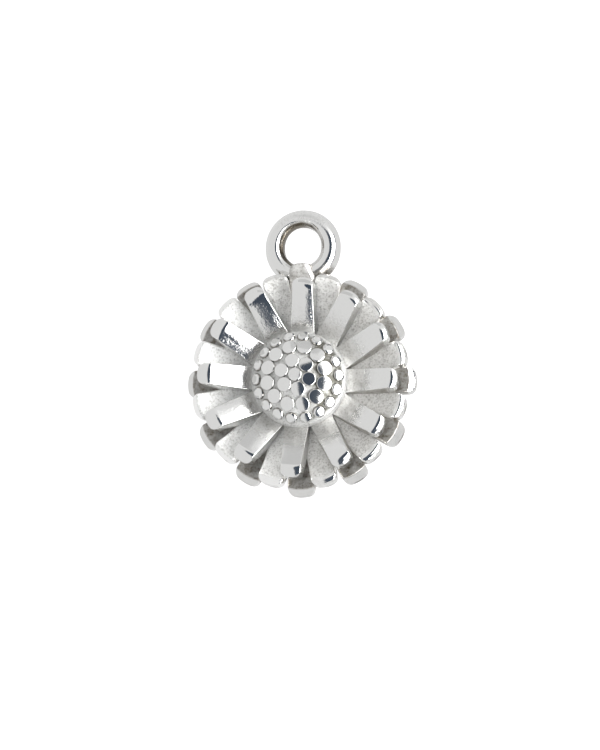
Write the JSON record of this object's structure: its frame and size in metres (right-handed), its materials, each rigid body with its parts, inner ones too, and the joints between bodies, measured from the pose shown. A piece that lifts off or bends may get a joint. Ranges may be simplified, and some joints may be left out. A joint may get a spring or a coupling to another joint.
{
  "type": "flower pendant",
  "caption": "Cast silver daisy pendant: three stepped whorls of petals round a beaded dome, flat back, fixed round eyelet for a jump ring or thin chain.",
  "frame": {"origin": "on the flower's axis, on the flat back", "axes": "+Z along the flower's axis out of its face, +Y towards the eyelet"},
  "size_m": [0.012, 0.0151, 0.0033],
  "materials": {
    "silver": "bright white plated silver: polished upper petals, bead tops and eyelet, satin middle petals, darker unpolished recesses"
  },
  "bodies": {
    "root": {"daisy_pendant": "silver"}
  },
  "joints": []
}
